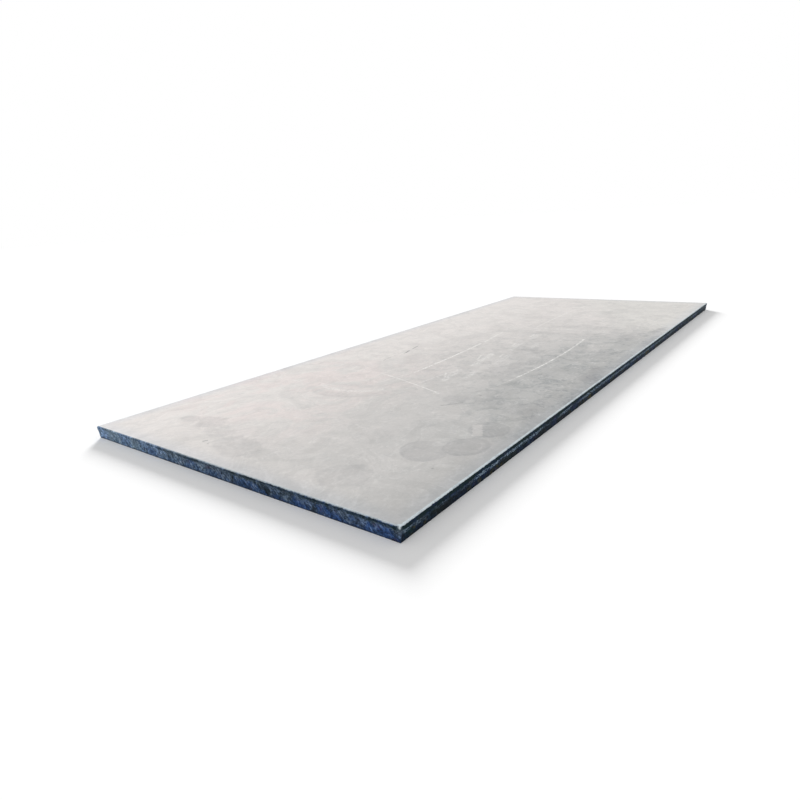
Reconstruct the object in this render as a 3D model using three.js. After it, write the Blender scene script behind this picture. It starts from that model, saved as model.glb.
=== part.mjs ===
// A hot-rolled steel plate, cut to size with the shears. One solid: a flat top and bottom, and four
// sheared edges. Millimetres, +Z up, +X along the plate's length and +Y across its width, with the
// origin at the centre of the bottom face.
import * as THREE from "three";

// Driving dimensions of the plate.
const plateLength = 3000;
const plateWidth = 1250;
const plateThickness = 40;

// A sheared edge, from the top face down. The blade first rolls the arris over. It then shaves a
// smooth upright land, until the steel tears. Below the ragged tear line is a small ledge, and under
// that the broken face leans inward down to the bottom arris.
const rolloverWidth = 4;
const rolloverDepth = 3;
const endLandDepth = 8;
const sideLandDepth = 16;
const tearWander = 2.5;
const ledgeHeight = 1.6;
const ledgeWidth = 1.1;
const breakLean = 3;
const breakRoughness = 0.5;

// The waves that the tear line and the broken face follow along the cut, each with its share.
const cutWaves = [
  { length: 640, share: 0.4 },
  { length: 187, share: 0.35 },
  { length: 71, share: 0.25 },
];

// Where two cuts meet, they settle to a common section over this length.
const cornerRun = 36;

// The corner at the start of both cuts was knocked, which blunted its top.
const bruiseInset = 4;
const bruiseReach = 12;
const bruiseHeight = 11;

// How finely the edge is divided.
const stationSpacing = 16;
const rolloverSteps = 3;
const breakSteps = 2;

const scaledSteel = new THREE.MeshStandardMaterial({
  name: "rolled_steel",
  color: new THREE.Color(0.72, 0.71, 0.7),
  roughness: 0.55,
  metalness: 0.6,
  flatShading: true,
});

// The four cuts, counter-clockwise from the bruised corner, each from one corner to the next.
const halfLength = plateLength / 2;
const halfWidth = plateWidth / 2;
const cuts = [
  { start: [-halfLength, -halfWidth], along: [1, 0], length: plateLength, landDepth: sideLandDepth },
  { start: [halfLength, -halfWidth], along: [0, 1], length: plateWidth, landDepth: endLandDepth },
  { start: [halfLength, halfWidth], along: [-1, 0], length: plateLength, landDepth: sideLandDepth },
  { start: [-halfLength, halfWidth], along: [0, -1], length: plateWidth, landDepth: endLandDepth },
];
const cornerLandDepth = (endLandDepth + sideLandDepth) / 2;

// How uneven the cut is at a distance along it, from -1 to 1. The phase sets one pattern off from
// the next.
function unevenness(distance, phase) {
  return cutWaves.reduce(
    (sum, wave) => sum + wave.share * Math.sin((2 * Math.PI * distance) / wave.length + phase * wave.length),
    0,
  );
}

// The distances along one cut where the section is taken: two close to each corner, and even steps
// between them. The far corner belongs to the next cut.
function stationDistances(length) {
  const evenLength = length - 2 * bruiseReach;
  const count = Math.ceil(evenLength / stationSpacing);
  const even = Array.from({ length: count + 1 }, (_, i) => bruiseReach + (evenLength * i) / count);
  return [0, bruiseReach / 2, ...even, length - bruiseReach / 2];
}

// The section at one station, as points [inset from the plate's outline, depth below the top].
function edgeSection(cut, distance, phase) {
  const toCorner = Math.min(distance, cut.length - distance);
  const settled = THREE.MathUtils.smoothstep(toCorner, 0, cornerRun);
  const wander = settled * tearWander * unevenness(distance, phase);
  const tearDepth = THREE.MathUtils.lerp(cornerLandDepth, cut.landDepth, settled) + wander;

  const section = [];
  for (let step = 0; step <= rolloverSteps; step += 1) {
    const angle = ((Math.PI / 2) * step) / rolloverSteps;
    section.push([rolloverWidth * (1 - Math.sin(angle)), rolloverDepth * (1 - Math.cos(angle))]);
  }
  section.push([0, tearDepth]);
  const ledgeDepth = tearDepth + ledgeHeight;
  for (let step = 0; step <= breakSteps; step += 1) {
    const down = step / breakSteps;
    const roughness = settled * breakRoughness * unevenness(distance, phase + 1 + step);
    section.push([
      THREE.MathUtils.lerp(ledgeWidth, breakLean, down) + roughness,
      THREE.MathUtils.lerp(ledgeDepth, plateThickness, down),
    ]);
  }
  return section;
}

// How far the knock pushed the steel in, by the distance from the bruised corner and the depth.
function bruise(fromCorner, depth) {
  const near = Math.max(0, 1 - fromCorner / bruiseReach);
  const high = Math.max(0, 1 - depth / bruiseHeight);
  return bruiseInset * near * high;
}

// One column of points down the edge. A corner's column is mitred, so it is inset both ways.
function edgeColumn(cutIndex, distance) {
  const cut = cuts[cutIndex];
  const previous = cuts[(cutIndex + cuts.length - 1) % cuts.length];
  const inward = new THREE.Vector2(-cut.along[1], cut.along[0]);
  if (distance === 0) inward.add(new THREE.Vector2(-previous.along[1], previous.along[0]));
  const corner = new THREE.Vector2(...cut.start);
  const outline = corner.clone().addScaledVector(new THREE.Vector2(...cut.along), distance);
  const fromBruise = outline.distanceTo(new THREE.Vector2(...cuts[0].start));
  return edgeSection(cut, distance, cutIndex).map(([inset, depth]) => {
    const point = outline.clone().addScaledVector(inward, inset + bruise(fromBruise, depth));
    return new THREE.Vector3(point.x, point.y, plateThickness - depth);
  });
}

// The plate: its columns joined all round, and closed by a flat fan above and below.
function plateGeometry() {
  const columns = cuts.flatMap((cut, index) =>
    stationDistances(cut.length).map((distance) => edgeColumn(index, distance)),
  );
  const rows = columns[0].length;
  const points = columns.flat();
  const topCentre = points.push(new THREE.Vector3(0, 0, plateThickness)) - 1;
  const bottomCentre = points.push(new THREE.Vector3(0, 0, 0)) - 1;

  const triangles = [];
  columns.forEach((_, here) => {
    const top = here * rows;
    const nextTop = ((here + 1) % columns.length) * rows;
    triangles.push(topCentre, top, nextTop);
    for (let row = 0; row < rows - 1; row += 1) {
      triangles.push(top + row, top + row + 1, nextTop + row + 1);
      triangles.push(top + row, nextTop + row + 1, nextTop + row);
    }
    triangles.push(bottomCentre, nextTop + rows - 1, top + rows - 1);
  });

  const geometry = new THREE.BufferGeometry().setFromPoints(points);
  geometry.setIndex(triangles);
  geometry.computeVertexNormals();
  return geometry;
}

const steelPlate = new THREE.Mesh(plateGeometry(), scaledSteel);
steelPlate.name = "steel_plate";

const plate = new THREE.Group();
plate.add(steelPlate);

export default plate;
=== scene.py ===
import math

import bmesh
import bpy
from mathutils import Matrix, Vector
from mathutils.geometry import delaunay_2d_cdt


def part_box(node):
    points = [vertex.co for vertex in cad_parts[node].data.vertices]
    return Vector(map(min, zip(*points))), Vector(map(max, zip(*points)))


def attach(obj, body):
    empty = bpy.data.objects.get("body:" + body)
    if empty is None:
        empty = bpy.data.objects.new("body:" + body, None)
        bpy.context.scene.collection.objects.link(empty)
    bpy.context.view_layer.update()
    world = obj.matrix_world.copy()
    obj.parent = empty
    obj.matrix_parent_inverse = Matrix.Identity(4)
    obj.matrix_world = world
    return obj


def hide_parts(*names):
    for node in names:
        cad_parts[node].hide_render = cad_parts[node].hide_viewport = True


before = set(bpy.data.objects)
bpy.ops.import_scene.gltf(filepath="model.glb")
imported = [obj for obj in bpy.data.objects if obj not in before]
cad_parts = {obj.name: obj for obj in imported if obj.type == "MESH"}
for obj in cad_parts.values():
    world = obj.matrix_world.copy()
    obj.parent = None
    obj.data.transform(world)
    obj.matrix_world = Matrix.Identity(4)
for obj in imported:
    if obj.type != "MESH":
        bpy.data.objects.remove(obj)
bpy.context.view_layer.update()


# ---------------------------------------------------------------------------------------------------
# The sheared edge. Hot-rolled steel plate, 40 mm thick, is cut to size by a blade that comes down
# from above. It rolls the top arris over, shaves a smooth upright land, and then the steel tears:
# under a ragged line the broken face leans inward. One skin of it runs right round the plate.

plate_low, plate_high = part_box("steel_plate")
plate_length, plate_width, plate_thickness = plate_high - plate_low

station_spacing = 0.0025
rollover_width = 0.004
rollover_depth = 0.003
end_land_depth = 0.008
side_land_depth = 0.016
tear_wander = 0.0025
tear_jag = 0.0011
ledge_height = 0.0016
ledge_width = 0.0011
break_lean = 0.003
break_roughness = 0.0005
break_facets = 0.0009
drag_depth = 0.00035
corner_run = 0.036
bruise_inset = 0.004
bruise_reach = 0.012
bruise_height = 0.011

# The relief's noises, in waves for each metre, and what stretches two of them to their full depth.
jag_waves = 90.0
jag_spread = 4.0
drag_waves = 70.0
facet_waves = 95.0
facet_spread = 1.6

# At the foot of the broken face the relief calms down: from this zone on, this fast, by this share.
foot_start = 3.8
foot_slope = 5.0
foot_calm = 0.6

# The waves that the tear line follows along the cut, as (length, share).
cut_waves = ((0.640, 0.4), (0.187, 0.35), (0.071, 0.25))

# The skin's rows in each zone, in the order that the edge goes down: rollover, land, ledge and
# broken face. A point's zone counts the zones above it, plus how far down its own one it is.
rows_of_zone = (5, 4, 2, 8)


def add_node(tree, kind, inputs=None, **settings):
    """A new node with its settings, and with a value or a link on each input that is named."""
    made = tree.nodes.new(kind)
    for name, value in settings.items():
        setattr(made, name, value)
    for name, value in (inputs or {}).items():
        if isinstance(value, Field):
            value = value.socket
        if isinstance(value, bpy.types.NodeSocket):
            tree.links.new(value, made.inputs[name])
        else:
            made.inputs[name].default_value = value
    return made


class Field:
    """A number that varies over the surface. It is a node's output, with plain arithmetic on it."""

    def __init__(self, tree, socket):
        self.tree, self.socket = tree, socket

    def math(self, operation, *others, clamp=False):
        values = dict(enumerate((self, *others)))
        made = add_node(self.tree, "ShaderNodeMath", values, operation=operation, use_clamp=clamp)
        return Field(self.tree, made.outputs[0])

    def __add__(self, other):
        return self.math("ADD", other)

    def __mul__(self, other):
        return self.math("MULTIPLY", other)

    def __sub__(self, other):
        return self.math("SUBTRACT", other)

    def __rsub__(self, other):
        return self * -1.0 + other

    __radd__ = __add__
    __rmul__ = __mul__

    def clamped(self):
        return self.math("ADD", 0.0, clamp=True)

    def smooth(self, low, high):
        """0 at low, 1 at high, and an S-curve between them."""
        share = ((self - low) * (1.0 / (high - low))).clamped()
        return share * share * (3.0 - 2.0 * share)


def noise_field(tree, place, scale, detail=2.0, roughness=0.5, distortion=0.0):
    """Cloudy noise round a mean of 0.5, at a scale in waves for each metre."""
    made = add_node(
        tree,
        "ShaderNodeTexNoise",
        {
            "Vector": place,
            "Scale": scale,
            "Detail": detail,
            "Roughness": roughness,
            "Distortion": distortion,
        },
        noise_dimensions="3D",
    )
    return Field(tree, made.outputs[0])


def sheared_edge_tree():
    """The skin of the edge: the outline's stations, each with a section of rows that the cut shapes."""
    tree = bpy.data.node_groups.new("sheared_edge", "GeometryNodeTree")
    tree.is_modifier = True
    sizes = {
        "Length": plate_length,
        "Width": plate_width,
        "Thickness": plate_thickness,
        "Rollover Width": rollover_width,
        "Rollover Depth": rollover_depth,
        "End Land Depth": end_land_depth,
        "Side Land Depth": side_land_depth,
        "Tear Wander": tear_wander,
        "Tear Jag": tear_jag,
        "Ledge Height": ledge_height,
        "Ledge Width": ledge_width,
        "Break Lean": break_lean,
        "Break Roughness": break_roughness,
        "Break Facets": break_facets,
        "Drag Depth": drag_depth,
        "Corner Run": corner_run,
        "Bruise Inset": bruise_inset,
        "Bruise Reach": bruise_reach,
        "Bruise Height": bruise_height,
    }
    for name in sizes:
        tree.interface.new_socket(name, in_out="INPUT", socket_type="NodeSocketFloat")
    tree.interface.new_socket("Stations", in_out="INPUT", socket_type="NodeSocketInt")
    tree.interface.new_socket("Geometry", in_out="OUTPUT", socket_type="NodeSocketGeometry")
    given = add_node(tree, "NodeGroupInput")
    size = {name: Field(tree, given.outputs[name]) for name in sizes}

    def store(geometry, name, kind, value):
        return add_node(
            tree,
            "GeometryNodeStoreNamedAttribute",
            {"Geometry": geometry, "Name": name, "Value": value},
            data_type=kind,
            domain="POINT",
        ).outputs[0]

    def read(name, kind):
        made = add_node(tree, "GeometryNodeInputNamedAttribute", {"Name": name}, data_type=kind)
        return made.outputs["Attribute"]

    # The outline, with its stations' places kept, and the section, with its zones kept.
    outline = add_node(
        tree, "GeometryNodeCurvePrimitiveQuadrilateral", {"Width": size["Length"], "Height": size["Width"]}
    )
    stations = add_node(
        tree, "GeometryNodeResampleCurve", {"Curve": outline.outputs[0], "Count": given.outputs["Stations"]}
    )
    place = add_node(tree, "GeometryNodeInputPosition").outputs[0]
    path = store(stations.outputs[0], "outline", "FLOAT_VECTOR", place)
    section = add_node(tree, "GeometryNodeCurvePrimitiveLine", {"End": (0.0, 0.0, plate_thickness)})
    rows = add_node(
        tree, "GeometryNodeResampleCurve", {"Curve": section.outputs[0], "Count": sum(rows_of_zone) + 1}
    )
    row = Field(tree, add_node(tree, "GeometryNodeInputIndex").outputs[0])
    zone = row * 0.0
    start = 0
    for count in rows_of_zone:
        zone = zone + ((row - float(start)) * (1.0 / count)).clamped()
        start += count
    profile = store(rows.outputs[0], "zone", "FLOAT", zone)
    skin = add_node(
        tree, "GeometryNodeCurveToMesh", {"Curve": path, "Profile Curve": profile}
    ).outputs[0]

    # Where on the outline a point is.
    zone = Field(tree, read("zone", "FLOAT"))
    foot = read("outline", "FLOAT_VECTOR")
    split = add_node(tree, "ShaderNodeSeparateXYZ", {"Vector": foot})
    x, y = Field(tree, split.outputs[0]), Field(tree, split.outputs[1])
    half_length, half_width = size["Length"] * 0.5, size["Width"] * 0.5
    to_end = half_length - x.math("ABSOLUTE")
    to_side = half_width - y.math("ABSOLUTE")
    touching = 1e-4
    on_side, on_end = to_side.math("LESS_THAN", touching), to_end.math("LESS_THAN", touching)
    side_run = (to_end.math("DIVIDE", size["Corner Run"])).smooth(0.0, 1.0)
    end_run = (to_side.math("DIVIDE", size["Corner Run"])).smooth(0.0, 1.0)
    settled = side_run + end_run
    near_side, near_end = y.math("LESS_THAN", 0.0), x.math("LESS_THAN", 0.0)
    along_side = half_length + x * (2.0 * near_side - 1.0)
    along_end = half_width + y * (1.0 - 2.0 * near_end)
    distance = along_side * side_run.math("GREATER_THAN", 0.0)
    distance = distance + along_end * end_run.math("GREATER_THAN", 0.0)
    cut_index = on_side * (2.0 - 2.0 * near_side) + on_end * (1.0 + 2.0 * near_end)

    # Each cut starts its waves at another point: its number times the wave's length in millimetres.
    def wave(length, share, phase):
        millimetres = length * 1000.0
        turned = distance * (2.0 * math.pi / length) + (cut_index + phase) * millimetres
        return share * turned.math("SINE")

    def unevenness(phase):
        waves = [wave(length, share, phase) for length, share in cut_waves]
        return sum(waves[1:], waves[0])

    # The section: how far each zone has gone down and in.
    done = [(zone - float(step)).clamped() for step in range(len(rows_of_zone))]
    corner_land = (size["End Land Depth"] + size["Side Land Depth"]) * 0.5
    jag = noise_field(tree, foot, jag_waves, 3.0, 0.7) - 0.5
    tear_depth = (
        corner_land
        + (size["Side Land Depth"] - corner_land) * side_run
        + (size["End Land Depth"] - corner_land) * end_run
        + settled * size["Tear Wander"] * unevenness(0.0)
        + settled * size["Tear Jag"] * jag * jag_spread
    )
    angle = done[0] * (math.pi / 2)
    depth = (
        size["Rollover Depth"] * (1.0 - angle.math("COSINE"))
        + (tear_depth - size["Rollover Depth"]) * done[1]
        + size["Ledge Height"] * done[2]
        + (size["Thickness"] - tear_depth - size["Ledge Height"]) * done[3]
    )
    inset = (
        size["Rollover Width"] * (1.0 - angle.math("SINE"))
        + size["Ledge Width"] * done[2]
        + (size["Break Lean"] - size["Ledge Width"]) * done[3]
    )

    # The relief: the blade's drag marks on the land, and the torn facets below it.
    drop = add_node(tree, "ShaderNodeCombineXYZ", {0: x, 1: y, 2: depth * 0.25}).outputs[0]
    drag = noise_field(tree, drop, drag_waves, 2.0, 0.6).smooth(0.42, 0.72)
    torn_place = add_node(tree, "ShaderNodeCombineXYZ", {0: x, 1: y, 2: depth * 0.6}).outputs[0]
    facets = add_node(
        tree, "ShaderNodeTexVoronoi", {"Vector": torn_place, "Scale": facet_waves}, feature="SMOOTH_F1"
    ).outputs["Distance"]
    on_land = done[1] * (1.0 - done[2])
    at_foot = (zone - foot_start).math("MULTIPLY", foot_slope).clamped()
    on_break = done[2] * (1.0 - at_foot * foot_calm)
    inset = (
        inset
        + on_land * settled * size["Drag Depth"] * drag
        + on_break * settled * size["Break Facets"] * Field(tree, facets) * facet_spread
        + on_break * settled * size["Break Roughness"] * (unevenness(1.0) * 0.6 + 0.4)
    )
    corner = add_node(
        tree,
        "ShaderNodeVectorMath",
        {0: foot, 1: (-plate_length / 2, -plate_width / 2, 0.0)},
        operation="DISTANCE",
    ).outputs["Value"]
    near = (1.0 - Field(tree, corner).math("DIVIDE", size["Bruise Reach"])).clamped()
    high = (1.0 - depth.math("DIVIDE", size["Bruise Height"])).clamped()
    inset = inset + size["Bruise Inset"] * near * high

    # Each point goes in from the outline and down from the top. Near a corner it also goes in the
    # other way, less and less along the corner run, so that the two cuts meet and don't cross.
    to_end_share = (1.0 - to_end.math("DIVIDE", size["Corner Run"])).clamped()
    to_side_share = (1.0 - to_side.math("DIVIDE", size["Corner Run"])).clamped()
    inward_x = to_end_share * (2.0 * near_end - 1.0) * inset
    inward_y = to_side_share * (2.0 * near_side - 1.0) * inset
    spot = add_node(
        tree,
        "ShaderNodeCombineXYZ",
        {0: x + inward_x, 1: y + inward_y, 2: size["Thickness"] - depth},
    ).outputs[0]
    shaped = add_node(tree, "GeometryNodeSetPosition", {"Geometry": skin, "Position": spot}).outputs[0]
    dressed = add_node(
        tree, "GeometryNodeSetMaterial", {"Geometry": shaped, "Material": sheared_steel_material}
    ).outputs[0]
    whole = add_node(tree, "GeometryNodeRealizeInstances", {"Geometry": dressed}).outputs[0]
    result = add_node(tree, "NodeGroupOutput")
    tree.links.new(whole, result.inputs[0])
    return tree, sizes


def new_material(name):
    """An empty material and its tree."""
    made = bpy.data.materials.new(name)
    made.use_nodes = True
    made.node_tree.nodes.clear()
    return made, made.node_tree


def finish_material(tree, inputs):
    """The surface shader that the tree ends in."""
    shader = add_node(tree, "ShaderNodeBsdfPrincipled", inputs)
    output = add_node(tree, "ShaderNodeOutputMaterial")
    tree.links.new(shader.outputs[0], output.inputs["Surface"])


def mix_colour(tree, share, low, high):
    """A colour that goes from low to high as the share goes from 0 to 1."""
    made = add_node(tree, "ShaderNodeMix", data_type="RGBA")
    for index, value in ((0, share), (6, low), (7, high)):
        value = value.socket if isinstance(value, Field) else value
        if isinstance(value, bpy.types.NodeSocket):
            tree.links.new(value, made.inputs[index])
        else:
            made.inputs[index].default_value = value if index == 0 else (*value, 1.0)
    return made.outputs[2]


def times(tree, colour, factor):
    """A colour times another one, or times a number, channel by channel."""
    return add_node(
        tree, "ShaderNodeVectorMath", {0: colour, 1: factor}, operation="MULTIPLY"
    ).outputs[0]


# The colours of the oxide, the casts that tint it, the torn flecks, and the rubbed arris's metal, which is
# painted pale as its highlight.
black_green = (0.005, 0.018, 0.020)
black_navy = (0.004, 0.014, 0.034)
dark_slate = (0.015, 0.029, 0.047)
slate_blue = (0.084, 0.130, 0.212)
deep_blue = (0.036, 0.086, 0.216)
grey_blue = (0.195, 0.305, 0.450)
pale_blue = (0.500, 0.650, 0.830)
navy_grey = (0.042, 0.080, 0.132)
ink_blue = (0.009, 0.024, 0.095)
black_teal = (0.006, 0.026, 0.034)
oxide_violet = (0.060, 0.045, 0.095)
oxide_olive = (0.060, 0.058, 0.018)
brown_oxide_and_shade = (0.011, 0.018, 0.028)
olive_cast = (1.18, 1.04, 0.80)
indigo_cast = (0.86, 0.96, 1.22)
torn_grey = (0.500, 0.610, 0.680)
fleck_reach = 0.0062  # about how far the flecks reach from the tear line
# The arris's metal, painted pale as its highlight, and its dull rubs.
bare_metal_highlight = (0.66, 0.73, 0.76)
worn_dull = (0.33, 0.39, 0.43)

# How far in from an end of the plate its own finish starts, and how far in it is full.
end_start = 0.006
end_full = 0.004

# The drag marks lean by this slope, and their height counts for only this share, which draws
# them out.
drag_slope = 0.5
drag_stretch = 0.65


def bare_metal_and_highlight(tree, place):
    """Exposed metal on the rolled arris, painted pale as its highlight, with dull rubs and specks left in
    it.
    """
    rubs = noise_field(tree, place, 42.0, 3.0, 0.6, 0.4).smooth(0.46, 0.64)
    specks = noise_field(tree, place, 330.0, 2.0, 0.7).smooth(0.46, 0.60)
    return mix_colour(tree, 0.35 * rubs + 0.35 * specks, bare_metal_highlight, worn_dull)


def sheared_steel():
    """The cut's finish: blue and black oxide, bright metal where it is rolled over or torn, and painted
    light and shade.
    """
    material, tree = new_material("sheared_steel")
    place = add_node(tree, "ShaderNodeTexCoord").outputs["Object"]
    split = add_node(tree, "ShaderNodeSeparateXYZ", {"Vector": place})
    x, y, z = (Field(tree, split.outputs[axis]) for axis in range(3))
    zone = Field(tree, add_node(tree, "ShaderNodeAttribute", attribute_name="zone").outputs["Fac"])
    end = x.math("ABSOLUTE").smooth(plate_length / 2 - end_start, plate_length / 2 - end_full)
    down = 1.0 - z * (1.0 / plate_thickness)

    # The drag marks lean a little, as the blade's upper edge closes from one side to the other.
    leaning = add_node(
        tree,
        "ShaderNodeCombineXYZ",
        {0: x + z * drag_slope, 1: y - z * drag_slope, 2: z * drag_stretch},
    ).outputs[0]
    clouds = noise_field(tree, place, 5.0, 3.0, 0.6)
    patches = noise_field(tree, place, 30.0, 4.0, 0.65, 0.6)
    tint = noise_field(tree, place, 19.0, 3.0, 0.6, 0.4)
    drags = noise_field(tree, leaning, 78.0, 5.0, 0.80, 0.8)
    level = add_node(tree, "ShaderNodeCombineXYZ", {0: x, 1: y, 2: z * 2.4}).outputs[0]
    flakes = noise_field(tree, level, 150.0, 3.0, 0.78)
    swathes = noise_field(tree, level, 11.0, 3.0, 0.6, 0.4)
    grain = noise_field(tree, place, 520.0, 3.0, 0.7)

    # The ends are slate blue, with deeper blue low down. Towards the high-Y side they turn paler: partly a
    # lighter oxide, partly painted light.
    cut_end = mix_colour(tree, (patches + 0.4 * (clouds - 0.5)).smooth(0.40, 0.54), dark_slate, slate_blue)
    cut_end = mix_colour(tree, (tint + 0.30 * (down - 0.5)).smooth(0.46, 0.57) * 0.85, cut_end, deep_blue)
    greyer_and_lit = (y + 0.5 * (clouds - 0.5)).smooth(-0.10, 0.60)
    cut_end = mix_colour(tree, greyer_and_lit * (0.62 + 0.5 * patches.smooth(0.4, 0.6)), cut_end, grey_blue)
    strokes = drags.smooth(0.54, 0.59) * (0.25 + 0.75 * patches.smooth(0.42, 0.54))
    cut_end = mix_colour(tree, strokes * (0.20 + 0.75 * greyer_and_lit), cut_end, pale_blue)
    gouges = (1.0 - drags.smooth(0.41, 0.47)) * (0.85 - 0.25 * greyer_and_lit)
    cut_end = mix_colour(tree, gouges, cut_end, dark_slate)

    # The long cuts are nearly black, bluer further down their length, with a brown broken face.
    further = x.smooth(-0.6, 1.0)
    share = (patches + 0.4 * (clouds - 0.5)).smooth(0.44, 0.60) * (0.28 + 0.46 * further)
    cut_side = mix_colour(tree, share, black_navy, navy_grey)
    cut_side = mix_colour(tree, (1.0 - swathes.smooth(0.42, 0.48)) * 0.8, cut_side, black_teal)
    inked = (swathes - 0.45 * (down - 0.20)).smooth(0.52, 0.56)
    cut_side = mix_colour(tree, inked * (0.85 - 0.4 * further), cut_side, ink_blue)
    broken = ((zone - 3.05) * 5.0).clamped()
    brown = broken * noise_field(tree, place, 8.0, 3.0).smooth(0.36, 0.54) * (1.0 - 0.5 * further)
    cut_side = mix_colour(tree, brown * 0.8, cut_side, brown_oxide_and_shade)
    cut_side = mix_colour(tree, drags.smooth(0.56, 0.66) * (0.28 + 0.3 * further), cut_side, slate_blue)
    olive = noise_field(tree, place, 45.0, 3.0, 0.60).smooth(0.53, 0.61) * (down - 0.35).smooth(0.0, 0.35)
    cut_side = mix_colour(tree, olive * clouds.smooth(0.41, 0.57) * 0.9, cut_side, oxide_olive)

    ground = mix_colour(tree, end, cut_side, cut_end)
    violet = noise_field(tree, place, 47.0, 2.0, 0.5).smooth(0.60, 0.70)
    ground = mix_colour(tree, violet * 0.5, ground, oxide_violet)
    # Darker towards the foot of the edge, where it meets the floor: painted shade.
    foot = (down + 0.2 * (patches - 0.5)).smooth(0.84, 0.97)
    ground = mix_colour(tree, foot * 0.5, ground, brown_oxide_and_shade)
    pitted = 0.52 + 1.02 * noise_field(tree, place, 170.0, 3.0, 0.7).smooth(0.38, 0.64)
    ground = times(tree, ground, pitted)

    # The oxide is thicker in some patches than in others, so its colour turns from olive to indigo.
    oxide = noise_field(tree, place, 13.0, 2.0, 0.5).smooth(0.42, 0.58)
    oxide = 0.5 + (oxide - 0.5) * (1.0 - 0.62 * end)
    ground = times(tree, ground, mix_colour(tree, oxide, olive_cast, indigo_cast))

    # A dark band lies just under the rolled arris. Torn flecks lie in runs along the tear.
    band = 0.25 - 0.16 * greyer_and_lit * end
    brow = (zone - 0.8).smooth(0.0, 0.30)
    brow = brow * (1.0 - (down - band + 0.25 * (drags - 0.5)).smooth(0.0, 0.10))
    brow = brow * (0.55 + 0.45 * tint.smooth(0.42, 0.58)) * (0.95 - 0.20 * end - 0.30 * greyer_and_lit * end)
    ground = mix_colour(tree, brow, ground, black_green)
    above = (2.0 - zone).clamped() * (side_land_depth - rollover_depth)
    below = (zone - 3.0).clamped() * (plate_thickness - side_land_depth)
    near_tear = 1.0 - ((1.4 * above + 0.75 * below) * (1.0 / fleck_reach)).clamped()
    fleck_runs = noise_field(tree, place, 9.0, 3.0).smooth(0.30, 0.52)
    flecks = (flakes + 0.08 * near_tear).smooth(0.555, 0.59) * near_tear.smooth(0.0, 0.35)
    flecks = flecks * (0.08 + 0.92 * fleck_runs) * (1.0 - 0.75 * end) * (1.0 - 0.70 * further)
    flecks = flecks * (x + plate_length / 2).smooth(0.004, 0.020).math("MAXIMUM", end)
    torn = mix_colour(tree, grain.smooth(0.45, 0.60), grey_blue, torn_grey)
    ground = mix_colour(tree, flecks * 0.95, ground, torn)

    # The rolled arris is rubbed down to its metal, painted pale as its highlight: all along the long cuts,
    # and in bites along the ends.
    bitten = noise_field(tree, leaning, 120.0, 3.0, 0.7)
    reach = 0.77 - 0.29 * end - 0.16 * greyer_and_lit * end
    worn_and_highlit = 1.0 - (zone - reach - (0.9 + 0.3 * end) * (bitten - 0.5)).smooth(0.0, 0.22)
    worn_and_highlit = worn_and_highlit * (0.97 - 0.27 * end - 0.54 * greyer_and_lit * end)
    arris_metal_highlit = bare_metal_and_highlight(tree, place)
    ground = mix_colour(tree, worn_and_highlit, ground, arris_metal_highlit)

    # The knocked corner shows its metal where it gave way, painted as pale as the arris's highlight, with a
    # smear of pale metal under it.
    knock = add_node(
        tree,
        "ShaderNodeVectorMath",
        {0: place, 1: (-plate_length / 2, -plate_width / 2, plate_thickness)},
        operation="DISTANCE",
    ).outputs["Value"]
    knocked = 1.0 - (Field(tree, knock) + 0.012 * (bitten - 0.5)).smooth(0.0060, 0.0084)
    from_side = (y + plate_width / 2).math("ABSOLUTE")
    from_end = (x + plate_length / 2).math("ABSOLUTE")
    beside = from_side.math("MAXIMUM", from_end)
    smeared = 1.0 - (beside + 0.02 * (drags - 0.5)).smooth(0.003, 0.013)
    smeared = smeared * (1.0 - (down - 0.35).smooth(0.0, 0.4))
    ground = mix_colour(tree, smeared * 0.10, ground, pale_blue)
    ground = mix_colour(tree, knocked * 0.95, ground, arris_metal_highlit)

    roughness = (0.60 - 0.25 * (patches - 0.5) - 0.16 * worn_and_highlit + 0.3 * (grain - 0.5)).clamped()
    metal = (0.05 + 0.6 * worn_and_highlit.math("MAXIMUM", knocked) + 0.3 * flecks).clamped()
    height = grain * 0.3 + drags * 0.8
    bump = add_node(tree, "ShaderNodeBump", {"Strength": 0.6, "Distance": 0.0009, "Height": height})
    finish_material(
        tree,
        {
            "Base Color": ground,
            "Roughness": roughness,
            "Metallic": metal,
            "Specular IOR Level": 0.06,
            "Normal": bump.outputs[0],
        },
    )
    return material


sheared_steel_material = sheared_steel()


def evaluated_mesh(name, tree, values):
    """The plain mesh that a tree makes from these values of its named inputs."""
    holder = bpy.data.objects.new(name + "_tree", bpy.data.meshes.new(name + "_tree"))
    bpy.context.scene.collection.objects.link(holder)
    modifier = holder.modifiers.new("shape", "NODES")
    modifier.node_group = tree
    for item in tree.interface.items_tree:
        if item.in_out == "INPUT" and item.name in values:
            modifier[item.identifier] = values[item.name]
    graph = bpy.context.evaluated_depsgraph_get()
    mesh = bpy.data.meshes.new_from_object(
        holder.evaluated_get(graph), preserve_all_data_layers=True, depsgraph=graph
    )
    mesh.name = name
    bpy.data.objects.remove(holder)
    return mesh


edge_tree, edge_sizes = sheared_edge_tree()
stations = round(2 * (plate_length + plate_width) / station_spacing)
plate_mesh = evaluated_mesh("rolled_plate", edge_tree, {**edge_sizes, "Stations": stations})


# ---------------------------------------------------------------------------------------------------
# The rolled faces. The top and the bottom are the plate as it left the rolls: flat, under a thin
# skin of pale mill scale, with dried water rings, smudges, scuffs and the cutter's chalk lines.

net_spacing = 0.05
rim_wear = 0.0035
rolled_face_slot = 1  # the rolled faces' material slot, after the edge's
touching_reach = 1e-5  # a point this close to a line or a level is on it

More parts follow.
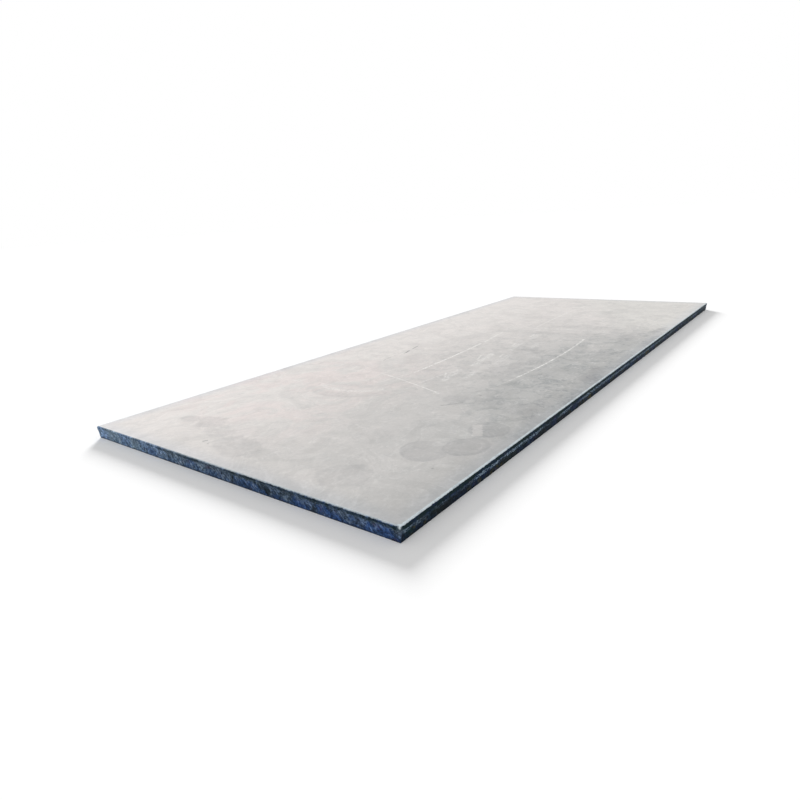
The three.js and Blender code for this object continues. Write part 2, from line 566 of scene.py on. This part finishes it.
# The colours of the mill scale, its stains and rubs, the chalk and the scuffs, and the two casts. The
# cooler scale also stands for painted shade.
warm_scale = (0.684, 0.654, 0.633)
cool_shaded_scale = (0.434, 0.432, 0.424)
dark_scale = (0.215, 0.232, 0.245)
rose_scale = (0.690, 0.615, 0.598)
green_scale = (0.648, 0.638, 0.607)
stain_grey = (0.240, 0.240, 0.250)
rubbed_grey = (0.640, 0.628, 0.612)
chalk_white = (0.86, 0.85, 0.83)
scuff_black = (0.09, 0.09, 0.10)
bluish_cast = (0.925, 0.950, 0.985)
no_cast = (1.0, 1.0, 1.0)

# Dried rings and smudges on the top, as the middle, the reach each way, the turn in degrees, the
# strength, and how far it is smeared. The middle is measured from the corner at low X and Y.
water_rings = (
    ((0.347, 0.185), (0.068, 0.076), -30.0, 0.70, 0.0),
    ((0.427, 0.100), (0.072, 0.062), -20.0, 0.90, 0.0),
    ((0.566, 0.110), (0.066, 0.062), 15.0, 0.82, 0.0),
    ((0.768, 0.111), (0.062, 0.057), 0.0, 0.90, 0.3),
    ((0.126, 0.268), (0.074, 0.080), 30.0, 0.50, 0.2),
    ((0.364, 0.374), (0.066, 0.072), -25.0, 0.22, 0.2),
    ((0.118, 0.672), (0.066, 0.120), -8.0, 0.60, 0.3),
    ((0.760, 0.345), (0.062, 0.056), 25.0, 0.70, 0.5),
    ((0.800, 0.215), (0.080, 0.044), 35.0, 0.75, 0.6),
    ((0.215, 0.930), (0.052, 0.070), -8.0, 0.62, 0.4),
    ((0.200, 1.020), (0.036, 0.044), 4.0, 0.62, 0.4),
    ((0.178, 0.835), (0.050, 0.080), -14.0, 0.48, 0.5),
    ((1.150, 0.365), (0.150, 0.100), 12.0, 0.72, 1.0),
    ((1.480, 0.420), (0.120, 0.080), -8.0, 0.40, 1.0),
    ((0.840, 0.070), (0.060, 0.040), 5.0, 1.00, 0.8),
    ((1.190, 0.050), (0.080, 0.042), 5.0, 1.40, 0.8),
    ((1.300, 0.056), (0.070, 0.040), 5.0, 1.40, 0.8),
    ((1.560, 0.120), (0.110, 0.050), -10.0, 0.80, 1.0),
    ((1.890, 0.118), (0.090, 0.040), -10.0, 0.90, 0.8),
    ((2.110, 0.046), (0.100, 0.028), -8.0, 1.30, 0.8),
    ((1.960, 0.130), (0.130, 0.036), -10.0, 0.70, 1.0),
    ((2.080, 0.400), (0.110, 0.110), 0.0, 0.34, 1.0),
    ((2.320, 0.320), (0.160, 0.070), 8.0, 0.40, 1.0),
    ((2.570, 0.400), (0.140, 0.090), 0.0, 0.42, 1.0),
)

# Patches that stayed dry and pale, given in the same way.
dry_patches = (
    ((0.640, 0.190), (0.090, 0.060), 20.0, 0.30, 1.0),
    ((0.640, 0.290), (0.100, 0.070), 10.0, 0.42, 1.0),
    ((0.070, 0.300), (0.070, 0.110), 0.0, 0.40, 1.0),
    ((1.400, 0.560), (0.080, 0.070), 0.0, 0.42, 1.0),
    ((0.360, 0.420), (0.110, 0.070), 0.0, 0.34, 1.0),
    ((1.650, 0.560), (0.150, 0.070), 0.0, 0.55, 1.0),
    ((1.650, 0.180), (0.140, 0.060), 5.0, 0.50, 1.0),
    ((2.200, 0.170), (0.200, 0.050), 0.0, 0.30, 1.0),
    ((2.870, 0.070), (0.160, 0.060), 0.0, 0.50, 1.0),
    ((0.800, 1.150), (0.300, 0.080), 0.0, 0.60, 1.0),
)

# Strokes on the top, as start, end, bow, width and strength. They are the two long cutting lines
# with a cross line, fainter ones further on, and dabs of wiped-off chalk.
chalk_strokes = (
    ((1.080, 0.282), (1.815, 0.294), -0.019, 0.0060, 1.15),
    ((0.960, 0.300), (1.100, 0.280), -0.002, 0.0045, 0.45),
    ((0.985, 0.677), (1.560, 0.696), -0.006, 0.0072, 1.30),
    ((1.590, 0.696), (1.835, 0.724), 0.000, 0.0066, 0.85),
    ((0.860, 0.710), (1.000, 0.678), 0.000, 0.0045, 0.40),
    ((0.925, 0.790), (0.795, 0.430), 0.006, 0.0055, 0.80),
    ((0.917, 0.990), (0.926, 0.790), 0.000, 0.0050, 0.35),
    ((2.000, 0.618), (2.460, 0.634), 0.003, 0.0055, 0.75),
    ((2.480, 0.634), (2.760, 0.610), 0.004, 0.0060, 0.35),
    ((0.780, 0.572), (1.070, 0.546), 0.008, 0.0042, 0.50),
    ((0.930, 0.505), (1.105, 0.535), 0.004, 0.0200, 0.40),
    ((1.000, 0.445), (1.110, 0.470), -0.003, 0.0160, 0.34),
    ((1.170, 0.515), (1.395, 0.545), 0.003, 0.0200, 0.48),
    ((1.230, 0.450), (1.390, 0.468), -0.002, 0.0170, 0.42),
    ((1.470, 0.505), (1.620, 0.522), 0.003, 0.0200, 0.40),
    ((1.550, 0.440), (1.650, 0.450), 0.000, 0.0160, 0.34),
    ((1.725, 0.520), (1.850, 0.530), 0.002, 0.0200, 0.40),
    ((0.985, 0.530), (1.040, 0.560), 0.000, 0.0065, 0.75),
    ((1.275, 0.555), (1.345, 0.575), 0.000, 0.0070, 0.80),
    ((1.345, 0.486), (1.405, 0.500), 0.000, 0.0070, 0.75),
    ((1.560, 0.535), (1.620, 0.548), 0.000, 0.0080, 0.75),
    ((1.770, 0.545), (1.835, 0.555), 0.000, 0.0085, 0.70),
    ((1.975, 0.620), (2.000, 0.240), 0.006, 0.0240, 0.26),
    ((0.700, 0.910), (0.750, 0.640), -0.050, 0.0170, 0.42),
)
scuff_strokes = (
    ((1.240, 0.915), (1.300, 0.928), 0.000, 0.0050, 0.80),
    ((1.335, 0.936), (1.392, 0.946), 0.001, 0.0045, 0.65),
    ((1.098, 0.922), (1.195, 0.930), 0.003, 0.0040, 0.35),
    ((0.687, 0.354), (0.748, 0.304), -0.002, 0.0035, 0.45),
    ((0.092, 0.800), (0.106, 0.792), 0.000, 0.0045, 0.55),
    ((0.086, 0.766), (0.096, 0.772), 0.001, 0.0040, 0.50),
    ((0.832, 0.292), (0.846, 0.288), 0.000, 0.0050, 0.55),
    ((0.262, 0.102), (0.270, 0.100), 0.000, 0.0040, 0.40),
    ((1.865, 0.600), (1.905, 0.250), 0.008, 0.0400, 0.10),
    ((2.060, 0.520), (2.090, 0.230), -0.010, 0.0360, 0.06),
    ((1.390, 0.700), (1.530, 0.360), 0.015, 0.0220, 0.08),
    ((0.655, 0.940), (0.715, 0.600), -0.062, 0.0330, 0.09),
    ((0.745, 0.900), (0.790, 0.680), -0.040, 0.0240, 0.05),
)

# A scraped patch, pale and straight-sided, in the third ring, as start, end and width.
scraped_patch = ((0.505, 0.111), (0.587, 0.159), 0.022)


def mark_tree(name, sizes):
    """The start of a group for one mark: its inputs, and how far along and across it a point is."""
    tree = bpy.data.node_groups.new(name, "ShaderNodeTree")
    for vector in ("Place", "Spot", "Along", "Across"):
        tree.interface.new_socket(vector, in_out="INPUT", socket_type="NodeSocketVector")
    for number in ("Before", "Strength", *sizes):
        tree.interface.new_socket(number, in_out="INPUT", socket_type="NodeSocketFloat")
    tree.interface.new_socket("Mask", in_out="OUTPUT", socket_type="NodeSocketFloat")
    given = add_node(tree, "NodeGroupInput").outputs
    local = add_node(
        tree, "ShaderNodeVectorMath", {0: given["Place"], 1: given["Spot"]}, operation="SUBTRACT"
    ).outputs[0]
    along, across = (
        add_node(
            tree, "ShaderNodeVectorMath", {0: local, 1: given[way]}, operation="DOT_PRODUCT"
        ).outputs["Value"]
        for way in ("Along", "Across")
    )
    return tree, given, Field(tree, along), Field(tree, across)


def finish_mark(tree, given, mask):
    """Lays the mark over those before it, so that the stronger one shows where two of them meet."""
    mask = mask * Field(tree, given["Strength"])
    total = mask.math("MAXIMUM", Field(tree, given["Before"]))
    result = add_node(tree, "NodeGroupOutput")
    tree.links.new(total.socket, result.inputs[0])
    return tree


def ring_group():
    """A dried ring: a faint darker field with a darker rim. It reaches 1 along and across."""
    tree, given, along, across = mark_tree("dried_ring", ["Ragged", "Smear"])
    ragged, smear = Field(tree, given["Ragged"]), Field(tree, given["Smear"])
    reach = (along * along + across * across).math("SQRT") + (ragged - 0.5) * (0.30 + 1.8 * smear)
    soft = 0.5 * smear
    field = 1.0 - ((reach - 0.88 + soft).math("DIVIDE", 0.12 + soft)).smooth(0.0, 1.0)
    heavy_side = (0.5 - 0.5 * along - 0.4 * across).clamped()
    rim = reach.smooth(0.68, 0.94) * field * (0.30 + 0.55 * heavy_side) * (1.0 - smear)
    return finish_mark(tree, given, field * 0.62 + rim * 0.5)


def stroke_group():
    """A drawn stroke: it starts at 0 along and ends at 1, and it is measured in metres across."""
    tree, given, along, across = mark_tree("drawn_stroke", ["Bow", "Width"])
    bow = Field(tree, given["Bow"]) * along * (1.0 - along) * 4.0
    off = (across - bow).math("ABSOLUTE").math("DIVIDE", Field(tree, given["Width"]))
    past = (along - 0.5).math("ABSOLUTE").smooth(0.485, 0.5)
    return finish_mark(tree, given, (1.0 - off.smooth(0.35, 1.0)) * (1.0 - past))


def mill_scale():
    """The rolled faces' finish: pale, dusty mill scale with clouds, mottle, rings and chalk, and painted
    sheen and shade.
    """
    material, tree = new_material("mill_scale")
    place = add_node(tree, "ShaderNodeTexCoord").outputs["Object"]
    split = add_node(tree, "ShaderNodeSeparateXYZ", {"Vector": place})
    x, y, z = (Field(tree, split.outputs[axis]) for axis in range(3))
    on_top = z.math("GREATER_THAN", plate_thickness / 2)
    from_end, from_side = x + plate_length / 2, y + plate_width / 2

    clouds = noise_field(tree, place, 1.7, 4.0, 0.55, 0.5)
    drift = noise_field(tree, place, 4.5, 4.0, 0.6, 0.6)
    mottle = noise_field(tree, place, 17.0, 5.0, 0.66, 0.8)
    blots = noise_field(tree, place, 38.0, 4.0, 0.65, 0.6)
    fine = noise_field(tree, place, 95.0, 4.0, 0.7)
    speck = noise_field(tree, place, 310.0, 2.0, 0.6)
    along = add_node(tree, "ShaderNodeCombineXYZ", {0: x * 0.05, 1: y, 2: z}).outputs[0]
    streaks = noise_field(tree, along, 70.0, 3.0, 0.6)
    swirls = noise_field(tree, place, 5.5, 3.0, 0.55, 1.8)
    wisps = 1.0 - (swirls - 0.5).math("ABSOLUTE").smooth(0.004, 0.034)

    # The scale is cooler, darker and more broken along one long side, past the first half metre. The
    # darkening is partly the scale's own mottle and partly painted shade, which also spreads across the
    # whole face towards that side and eases off towards the high-X end.
    strip = (1.0 - (from_side + 0.45 * (drift - 0.5)).smooth(0.04, 0.44)) * from_end.smooth(0.30, 0.90)
    strip = strip * (1.0 - 0.95 * from_end.smooth(1.6, 2.5))
    far = from_end.smooth(1.5, 2.4)
    painted_shade_across = 1.0 - (from_side + 0.3 * (clouds - 0.5)).smooth(0.05, 1.10)
    uneven = 0.40 + 0.40 * from_end.smooth(0.4, 1.1)
    # Painted shade, on top of the scale's own cooler tone: darker across the face towards the long side at
    # low Y.
    cool_and_shaded = (0.54 * strip + 0.76 * painted_shade_across * (1.0 - 0.85 * far) + uneven * (drift - 0.5)).clamped()
    ground = mix_colour(tree, cool_and_shaded, warm_scale, cool_shaded_scale)
    rosy = from_end.smooth(0.10, 0.35) * (1.0 - from_end.smooth(0.85, 1.30)) * from_side.smooth(0.45, 0.68)
    rose = noise_field(tree, place, 5.5, 4.0, 0.6, 0.8).smooth(0.42, 0.58)
    rose = rose * (0.15 + 0.85 * rosy) * (1.0 - cool_and_shaded)
    ground = mix_colour(tree, rose * 0.58, ground, rose_scale)
    mossy = from_end.smooth(1.95, 2.25)
    mossy = mossy * (1.0 - (from_side - 0.45 * from_end.smooth(2.0, 3.0)).smooth(0.10, 0.35))
    ground = mix_colour(tree, mossy * 0.6, ground, green_scale)
    middle = from_side.smooth(0.1, 0.4) * (1.0 - from_side.smooth(0.5, 0.9)) * from_end.smooth(0.6, 1.2)
    worked = (0.16 + 0.84 * strip + 0.25 * middle * (1.0 - far)).clamped()
    broken = (mottle * 0.6 + blots * 0.5 - 0.05).smooth(0.47, 0.59) * worked
    ground = mix_colour(tree, broken * 0.62, ground, dark_scale)
    rubbed = (blots * 0.6 + fine * 0.5 - 0.05).smooth(0.50, 0.66) * (0.12 + 0.4 * worked)
    ground = mix_colour(tree, rubbed, ground, rubbed_grey)

    ring_tree, stroke_tree = ring_group(), stroke_group()
    ragged = noise_field(tree, place, 24.0, 3.0, 0.6)
    corner = Vector((plate_length / 2, plate_width / 2))

    def marked(group, spot, turn, reach, values):
        cosine, sine = math.cos(turn), math.sin(turn)
        values = {
            "Place": place,
            "Spot": (*(Vector(spot) - corner), 0.0),
            "Along": (cosine / reach[0], sine / reach[0], 0.0),
            "Across": (-sine / reach[1], cosine / reach[1], 0.0),
            **values,
        }
        return add_node(tree, "ShaderNodeGroup", values, node_tree=group).outputs[0]

    def dried(patches):
        total = 0.0
        for middle, reach, turn, strength, smear in patches:
            values = {"Before": total, "Strength": strength, "Ragged": ragged, "Smear": smear}
            total = marked(ring_tree, middle, math.radians(turn), reach, values)
        return Field(tree, total) * on_top

    ground = mix_colour(tree, dried(dry_patches), ground, warm_scale)
    stained = dried(water_rings) * (0.55 + 0.9 * (mottle - 0.3)).clamped()
    ground = mix_colour(tree, stained * 0.62, ground, stain_grey)

    def drawn(strokes):
        total = 0.0
        for start, end, bow, width, strength in strokes:
            run = Vector(end) - Vector(start)
            values = {"Before": total, "Strength": strength, "Bow": bow, "Width": width}
            total = marked(stroke_tree, start, math.atan2(run.y, run.x), (run.length, 1.0), values)
        return Field(tree, total) * on_top

    start, end, width = scraped_patch
    scraped = drawn(((start, end, 0.0, width, 1.0),))
    scraped = (scraped + 1.6 * (fine - 0.5)).smooth(0.30, 0.70) * scraped.smooth(0.0, 0.25)
    ground = mix_colour(tree, scraped * 0.34, ground, warm_scale)
    chalk = drawn(chalk_strokes) * (fine * 0.6 + speck * 0.4).smooth(0.36, 0.58)
    chalk = chalk * (0.50 + 0.50 * blots.smooth(0.42, 0.54))
    scuffs = drawn(scuff_strokes) * (mottle * 0.5 + fine * 0.5).smooth(0.36, 0.54)
    ground = mix_colour(tree, scuffs, ground, scuff_black)
    ground = mix_colour(tree, chalk * 0.8, ground, chalk_white)

    # Towards the arris the scale turns bluish, and it has come off the last few millimetres, where the
    # metal shows, painted pale as the arris's highlight.
    to_end = plate_length / 2 - x.math("ABSOLUTE")
    to_side = plate_width / 2 - y.math("ABSOLUTE")
    to_rim = to_end.math("MINIMUM", to_side)
    bluish = mix_colour(tree, to_rim.smooth(0.006, 0.070), bluish_cast, no_cast)
    ground = times(tree, ground, bluish)
    side_rim = (plate_length / 2 - x.math("ABSOLUTE")).smooth(rollover_width, rollover_width * 2)
    chipped = rim_wear * (fine - 0.30 + 0.30 * side_rim)
    flaked_and_highlit = 1.0 - (to_rim - rollover_width - chipped).smooth(-0.0006, 0.0006)
    ground = mix_colour(tree, flaked_and_highlit * 0.75, ground, bare_metal_and_highlight(tree, place))

    # How light the scale is: blots, dust, specks, streaks and swirls, and slow changes that are painted
    # sheen and painted shade.
    tone_with_painted_light = 1.022 + 0.22 * (blots - 0.5) + 0.22 * (fine - 0.5)
    tone_with_painted_light = tone_with_painted_light + 0.18 * (speck - 0.5) + 0.08 * (streaks - 0.5)
    tone_with_painted_light = tone_with_painted_light + 0.28 * (swirls - 0.5)
    tone_with_painted_light = tone_with_painted_light + 0.045 * (wisps - 0.25) * (0.4 + 1.2 * blots.smooth(0.40, 0.56))
    # Painted sheen: lighter towards the long side at high Y and towards the low-X end, most at their
    # corner.
    tone_with_painted_light = tone_with_painted_light + 0.08 * from_side.smooth(0.65, 1.20) + 0.05 * (1.0 - from_end.smooth(0.3, 1.0))
    tone_with_painted_light = tone_with_painted_light + 0.04 * (1.0 - from_end.smooth(0.02, 0.15)) * from_side.smooth(0.90, 1.20)
    # Painted shade: darker along the long side at low Y, over the half of it nearer the low-X end.
    tone_with_painted_light = tone_with_painted_light - 0.09 * (1.0 - from_side.smooth(0.04, 0.16)) * (1.0 - from_end.smooth(1.3, 1.7))
    tone_with_painted_light = tone_with_painted_light - 0.05 * (1.0 - from_side.smooth(0.02, 0.07)) * (1.0 - from_end.smooth(0.9, 1.4))
    ground = times(tree, ground, tone_with_painted_light)

    roughness = 0.56 + 0.22 * (mottle - 0.5) + 0.16 * (fine - 0.5) + 0.25 * chalk - 0.16 * flaked_and_highlit
    roughness = roughness - 0.06 * stained
    metal = (0.16 + 0.5 * flaked_and_highlit - 0.16 * chalk).clamped()
    height = fine * 0.4 + blots * 0.8
    bump = add_node(tree, "ShaderNodeBump", {"Strength": 0.45, "Distance": 0.0007, "Height": height})
    finish_material(
        tree,
        {
            "Base Color": ground,
            "Roughness": roughness.clamped(),
            "Metallic": metal,
            "Specular IOR Level": 0.5,
            "Normal": bump.outputs[0],
        },
    )
    return material


mill_scale_material = mill_scale()


def close_with_net(shape, height, material_index):
    """Fills the open loop of the skin at this height with triangles on an even net."""
    rim = [v for v in shape.verts if v.is_boundary and abs(v.co.z - height) < touching_reach]
    rim_index = {v: i for i, v in enumerate(rim)}
    edges = [
        tuple(rim_index[v] for v in e.verts) for e in shape.edges if all(v in rim_index for v in e.verts)
    ]
    columns = round(plate_length / net_spacing)
    rows = round(plate_width / net_spacing)
    inner = [
        Vector((plate_length * (i / columns - 0.5), plate_width * (j / rows - 0.5)))
        for i in range(1, columns)
        for j in range(1, rows)
    ]
    points = [v.co.to_2d() for v in rim] + inner
    spots, _, triangles, origins, _, _ = delaunay_2d_cdt(points, edges, [], 1, 1e-6)
    corners = [
        rim[sources[0]] if sources and sources[0] < len(rim) else shape.verts.new((*spot, height))
        for spot, sources in zip(spots, origins)
    ]
    for triangle in triangles:
        face = shape.faces.new([corners[i] for i in triangle])
        face.material_index = material_index
        face.smooth = False


# The plate's surface laid out flat on a square sheet that is 1 across: the top at the foot, the edge
# in strips over it, and the bottom above those, narrower, because it is seldom seen.
sheet_margin = 0.002
top_on_sheet = (0.002, 0.415)
bottom_on_sheet = (0.772, 0.226)
first_strip = 0.423
strip_pitch = 0.043
strip_height = 0.039
strip_count = 8
strip_slack = 1e-4  # the share of a strip by which rounding may put its first point too low

# The share of a strip's height that each zone of the edge gets, in the order that it goes down.
height_of_zone = (0.14, 0.20, 0.07, 0.59)


def distance_round(foot):
    """How far round the outline a point is, from the corner at low X and Y."""
    x, y = foot.x + plate_length / 2, foot.y + plate_width / 2
    if y < touching_reach:
        return x
    if x > plate_length - touching_reach:
        return plate_length + y
    if y > plate_width - touching_reach:
        return 2 * plate_length + plate_width - x
    return 2 * (plate_length + plate_width) - y


def lay_out_flat(shape):
    """Gives the surface its flat layout, so that the edge keeps its fine detail when it is baked."""
    layout = shape.loops.layers.uv.new("OFBake")
    foot = shape.verts.layers.float_vector["outline"]
    zone = shape.verts.layers.float["zone"]
    full = 1.0 - 2.0 * sheet_margin
    whole_round = 2 * (plate_length + plate_width)
    strip_length = whole_round / strip_count
    for face in shape.faces:
        if face.material_index == rolled_face_slot:
            low, height = top_on_sheet if face.normal.z > 0.0 else bottom_on_sheet
            turn = 1.0 if face.normal.z > 0.0 else -1.0
            for loop in face.loops:
                across = 0.5 + turn * loop.vert.co.x / plate_length
                up = 0.5 + loop.vert.co.y / plate_width
                loop[layout].uv = (sheet_margin + full * across, low + height * up)
            continue
        runs = [distance_round(loop.vert[foot]) for loop in face.loops]
        if max(runs) - min(runs) > whole_round / 2:
            runs = [run + whole_round if run < whole_round / 2 else run for run in runs]
        strip = int(min(runs) / strip_length + strip_slack)
        low = first_strip + strip * strip_pitch
        for loop, run in zip(face.loops, runs):
            shares = [min(max(loop.vert[zone] - step, 0.0), 1.0) for step in range(len(height_of_zone))]
            down = sum(share * height for share, height in zip(shares, height_of_zone))
            across = run / strip_length - strip
            loop[layout].uv = (sheet_margin + full * across, low + strip_height * (1.0 - down))


shape = bmesh.new()
shape.from_mesh(plate_mesh)
for face in shape.faces:
    face.smooth = True
close_with_net(shape, plate_thickness, rolled_face_slot)
close_with_net(shape, 0.0, rolled_face_slot)
bmesh.ops.recalc_face_normals(shape, faces=shape.faces)
shape.normal_update()
lay_out_flat(shape)
shape.to_mesh(plate_mesh)
shape.free()
plate_mesh.materials.append(mill_scale_material)

rolled_plate = bpy.data.objects.new("rolled_plate", plate_mesh)
bpy.context.scene.collection.objects.link(rolled_plate)
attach(rolled_plate, "root")
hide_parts("steel_plate")


# ---------------------------------------------------------------------------------------------------
# The studio: a plain white floor, an even sky, and two soft suns. The weaker one is high up on the
# camera's side, and the stronger one is low, behind the plate. The camera stands low, off the
# knocked corner. None of it is part of the plate.

floor_reach = 60.0
floor_drop = 0.0005  # keeps the floor clear of the plate's bottom face
floor_white = (0.97, 0.97, 0.97, 1.0)
floor_glow = 0.06  # only the camera sees it, so it lights nothing
sky_level = 0.43

# The suns: the side that they come from, their height and their spread, in degrees, and their level.
key_sun = (200.0, 62.0, 40.0, 0.15)
back_sun = (47.0, 17.0, 16.0, 0.42)

# The camera: its place, its turns in degrees, its lens and sensor in millimetres, and its reach.
camera_place = (-2.302, -1.278, 0.634)
camera_azimuth, camera_pitch, camera_roll = 38.23, -17.53, -3.68
camera_lens = 26.09
camera_sensor = 36.0
camera_reach = 200.0

floor_mesh = bpy.data.meshes.new("studio_floor")
floor_corners = [
    (-floor_reach, -floor_reach, 0.0),
    (floor_reach, -floor_reach, 0.0),
    (floor_reach, floor_reach, 0.0),
    (-floor_reach, floor_reach, 0.0),
]
floor_mesh.from_pydata(floor_corners, [], [(0, 1, 2, 3)])
floor = bpy.data.objects.new("studio_floor", floor_mesh)
bpy.context.scene.collection.objects.link(floor)
floor.location.z = -floor_drop
floor_material, floor_tree = new_material("floor_paper")
floor_seen = Field(floor_tree, add_node(floor_tree, "ShaderNodeLightPath").outputs["Is Camera Ray"])
finish_material(
    floor_tree,
    {
        "Base Color": floor_white,
        "Roughness": 1.0,
        "Specular IOR Level": 0.0,
        "Emission Color": (1.0, 1.0, 1.0, 1.0),
        "Emission Strength": floor_seen * floor_glow,
    },
)
floor_mesh.materials.append(floor_material)

world = bpy.data.worlds.new("studio")
bpy.context.scene.world = world
world.use_nodes = True
world.node_tree.nodes.clear()
rays = add_node(world.node_tree, "ShaderNodeLightPath")
seen = Field(world.node_tree, rays.outputs["Is Camera Ray"])
seen = seen.math("MAXIMUM", Field(world.node_tree, rays.outputs["Is Glossy Ray"]))
seen = seen.math("MAXIMUM", Field(world.node_tree, rays.outputs["Is Transmission Ray"]))
strength = seen * (1.0 - sky_level) + sky_level
background = add_node(
    world.node_tree, "ShaderNodeBackground", {"Color": (1.0, 1.0, 1.0, 1.0), "Strength": strength}
)
world_output = add_node(world.node_tree, "ShaderNodeOutputWorld")
world.node_tree.links.new(background.outputs[0], world_output.inputs[0])


def soft_sun(name, azimuth, height, spread, level):
    """A broad, even light. It adds this level to a level surface, where 1 shows a colour as written."""
    lamp = bpy.data.lights.new(name, "SUN")
    lamp.energy = level * math.pi / math.sin(math.radians(height))
    lamp.angle = math.radians(spread)
    made = bpy.data.objects.new(name, lamp)
    bpy.context.scene.collection.objects.link(made)
    made.rotation_euler = (0.0, math.radians(90.0 - height), math.radians(azimuth))
    return made


soft_sun("key_light", *key_sun)
back_light = soft_sun("back_light", *back_sun)
back_light.visible_glossy = False

camera_data = bpy.data.cameras.new("camera")
camera_data.sensor_width = camera_sensor
camera_data.lens = camera_lens
camera_data.clip_end = camera_reach
camera = bpy.data.objects.new("camera", camera_data)
bpy.context.scene.collection.objects.link(camera)
camera.matrix_world = (
    Matrix.Translation(camera_place)
    @ Matrix.Rotation(math.radians(camera_azimuth - 90.0), 4, "Z")
    @ Matrix.Rotation(math.radians(90.0 + camera_pitch), 4, "X")
    @ Matrix.Rotation(math.radians(camera_roll), 4, "Z")
)
bpy.context.scene.camera = camera
bpy.context.scene.view_settings.view_transform = "Standard"
